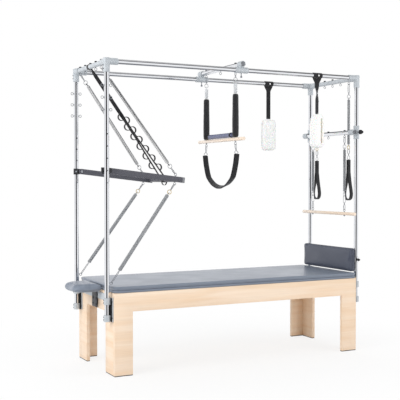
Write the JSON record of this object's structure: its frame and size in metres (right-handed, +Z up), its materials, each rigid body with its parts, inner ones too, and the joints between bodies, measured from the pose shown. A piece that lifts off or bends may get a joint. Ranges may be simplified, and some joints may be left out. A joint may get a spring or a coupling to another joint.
{
  "type": "pilates trapeze table",
  "caption": "Padded wooden bed under a tube frame, with a sprung push-through bar, sliding trapeze, sling, height-adjustable end bar and hanging loops and cuffs.",
  "frame": {"origin": "on the floor, at the middle of the whole table's plan", "axes": "+X along the bed from the tongue end to the backrest end, +Y across the bed to the far side, +Z up"},
  "size_m": [2.3114, 0.7776, 2.222],
  "materials": {
    "maple": "clear satin lacquer on pale maple",
    "deck": "raw plywood",
    "vinyl": "smooth blue-grey upholstery vinyl",
    "vinyl_dark": "smooth dark blue-grey upholstery vinyl",
    "black_steel": "black powder coat",
    "dark_paint": "dark grey powder coat",
    "grey_paint": "silver-grey paint",
    "chrome": "polished chrome",
    "steel": "zinc-plated steel",
    "webbing": "black woven webbing",
    "knob": "black moulded plastic",
    "fleece": "white fleece"
  },
  "bodies": {
    "table": {"side_panel_near": "maple", "side_panel_far": "maple", "end_panel_left": "maple", "end_panel_right": "maple", "deck_board": "deck", "mat": "vinyl", "tongue_pad": "vinyl", "tongue_bracket": "black_steel", "post_left_near": "chrome", "post_left_far": "chrome", "post_right_near": "chrome", "post_right_far": "chrome", "rail_near": "chrome", "rail_far": "chrome", "end_bar_left": "grey_paint", "end_bar_right": "grey_paint", "corner_fitting_left_near": "grey_paint", "corner_fitting_left_far": "grey_paint", "corner_fitting_right_near": "grey_paint", "corner_fitting_right_far": "grey_paint", "foot_bracket_left": "grey_paint", "foot_bracket_right": "grey_paint", "ptb_bracket_near": "black_steel", "ptb_bracket_far": "black_steel", "ptb_spring_upper_near": "chrome", "ptb_spring_upper_far": "chrome", "ptb_spring_lower_near": "chrome", "ptb_spring_lower_far": "chrome", "safety_strap": "webbing"},
    "push_through_bar": {"push_through_bar": "dark_paint"},
    "carriage": {"carriage_bar": "chrome", "carriage_clamp_near": "grey_paint", "carriage_clamp_far": "grey_paint"},
    "carriage_lock_near": {"carriage_lock_near": "steel"},
    "carriage_lock_far": {"carriage_lock_far": "steel"},
    "trapeze": {"trapeze_sleeve_near": "webbing", "trapeze_sleeve_far": "webbing", "trapeze_dowel": "maple", "trapeze_seat_roll": "vinyl_dark"},
    "sling": {"sling": "webbing"},
    "right_crossbar": {"right_bar": "chrome", "right_clamp_near": "grey_paint", "right_clamp_far": "grey_paint"},
    "right_knob_near": {"right_knob_near": "knob"},
    "right_knob_far": {"right_knob_far": "knob"},
    "roll_springs": {"roll_spring_near": "chrome", "roll_spring_far": "chrome"},
    "roll_bar": {"roll_dowel": "maple"},
    "hand_spring_near": {"hand_spring_near": "chrome"},
    "hand_spring_far": {"hand_spring_far": "chrome"},
    "hand_loop_near": {"hand_loop_near": "webbing"},
    "hand_loop_far": {"hand_loop_far": "webbing"},
    "cuff_strap_near": {"cuff_strap_near": "webbing"},
    "cuff_strap_far": {"cuff_strap_far": "webbing"},
    "fleece_cuff_near": {"fleece_cuff_near": "fleece"},
    "fleece_cuff_far": {"fleece_cuff_far": "fleece"},
    "backrest": {"backrest_frame": "black_steel", "backrest_pad": "vinyl_dark"},
    "backrest_knob_near": {"backrest_knob_near": "knob"},
    "backrest_knob_far": {"backrest_knob_far": "knob"}
  },
  "joints": [
    {"name": "push_through_swing", "type": "hinge", "parent": "table", "child": "push_through_bar", "pos_m": [-0.95335, 0, 1.41], "axis": [0, 1, 0], "range_deg": [-60, 6], "stiffness_Nm_per_rad": 150, "springref_deg": -14.32, "deforming": ["ptb_spring_upper_near", "ptb_spring_upper_far", "ptb_spring_lower_near", "ptb_spring_lower_far", "safety_strap"]},
    {"name": "carriage_slide", "type": "slide", "parent": "table", "child": "carriage", "axis": [1, 0, 0], "range_m": [-0.1, 0.3]},
    {"name": "carriage_lock_near_turn", "type": "hinge", "parent": "carriage", "child": "carriage_lock_near", "pos_m": [0.07465, -0.32, 2.12], "axis": [0, 0, 1], "continuous": true},
    {"name": "carriage_lock_far_turn", "type": "hinge", "parent": "carriage", "child": "carriage_lock_far", "pos_m": [0.07465, 0.32, 2.12], "axis": [0, 0, 1], "continuous": true},
    {"name": "trapeze_swing", "type": "hinge", "parent": "carriage", "child": "trapeze", "pos_m": [0.07465, 0, 2.168], "axis": [0, 1, 0], "range_deg": [-12, 12]},
    {"name": "sling_swing", "type": "hinge", "parent": "trapeze", "child": "sling", "pos_m": [0.07465, 0, 1.619], "axis": [0, 1, 0], "range_deg": [-15, 15]},
    {"name": "right_bar_slide", "type": "slide", "parent": "table", "child": "right_crossbar", "axis": [0, 0, 1], "range_m": [-0.05, 0.25]},
    {"name": "right_knob_near_turn", "type": "hinge", "parent": "right_crossbar", "child": "right_knob_near", "pos_m": [1.12965, -0.36, 1.726], "axis": [0, 1, 0], "continuous": true},
    {"name": "right_knob_far_turn", "type": "hinge", "parent": "right_crossbar", "child": "right_knob_far", "pos_m": [1.12965, 0.36, 1.726], "axis": [0, 1, 0], "continuous": true},
    {"name": "roll_swing", "type": "hinge", "parent": "right_crossbar", "child": "roll_springs", "pos_m": [1.08965, 0, 1.695], "axis": [0, 1, 0], "range_deg": [0, 25]},
    {"name": "roll_pull", "type": "slide", "parent": "roll_springs", "child": "roll_bar", "axis": [0, 0, 1], "range_m": [-0.12, 0], "stiffness_N_per_m": 300, "springref_m": 0.04, "deforming": ["roll_spring_near", "roll_spring_far"]},
    {"name": "hand_near_swing", "type": "hinge", "parent": "table", "child": "hand_spring_near", "pos_m": [1.12965, -0.22, 2.124], "axis": [0, 1, 0], "range_deg": [-20, 0]},
    {"name": "hand_far_swing", "type": "hinge", "parent": "table", "child": "hand_spring_far", "pos_m": [1.12965, 0.22, 2.124], "axis": [0, 1, 0], "range_deg": [-20, 0]},
    {"name": "hand_near_pull", "type": "slide", "parent": "hand_spring_near", "child": "hand_loop_near", "axis": [0, 0, 1], "range_m": [-0.2, 0], "stiffness_N_per_m": 250, "springref_m": 0.03, "deforming": ["hand_spring_near"]},
    {"name": "hand_far_pull", "type": "slide", "parent": "hand_spring_far", "child": "hand_loop_far", "axis": [0, 0, 1], "range_m": [-0.2, 0], "stiffness_N_per_m": 250, "springref_m": 0.03, "deforming": ["hand_spring_far"]},
    {"name": "cuff_near_slide", "type": "slide", "parent": "table", "child": "cuff_strap_near", "axis": [1, 0, 0], "range_m": [-0.1, 0.1]},
    {"name": "cuff_far_slide", "type": "slide", "parent": "table", "child": "cuff_strap_far", "axis": [1, 0, 0], "range_m": [-0.1, 0.1]},
    {"name": "cuff_near_swing", "type": "hinge", "parent": "cuff_strap_near", "child": "fleece_cuff_near", "pos_m": [0.74965, -0.32, 1.8277], "axis": [0, 1, 0], "range_deg": [-15, 15]},
    {"name": "cuff_far_swing", "type": "hinge", "parent": "cuff_strap_far", "child": "fleece_cuff_far", "pos_m": [0.70465, 0.32, 1.8277], "axis": [1, 0, 0], "range_deg": [-15, 15]},
    {"name": "backrest_slide", "type": "slide", "parent": "table", "child": "backrest", "axis": [0, 0, 1], "range_m": [0, 0.06]},
    {"name": "backrest_knob_near_turn", "type": "hinge", "parent": "backrest", "child": "backrest_knob_near", "pos_m": [1.12965, -0.35, 0.7193], "axis": [0, 1, 0], "continuous": true},
    {"name": "backrest_knob_far_turn", "type": "hinge", "parent": "backrest", "child": "backrest_knob_far", "pos_m": [1.12965, 0.35, 0.7193], "axis": [0, 1, 0], "continuous": true}
  ]
}
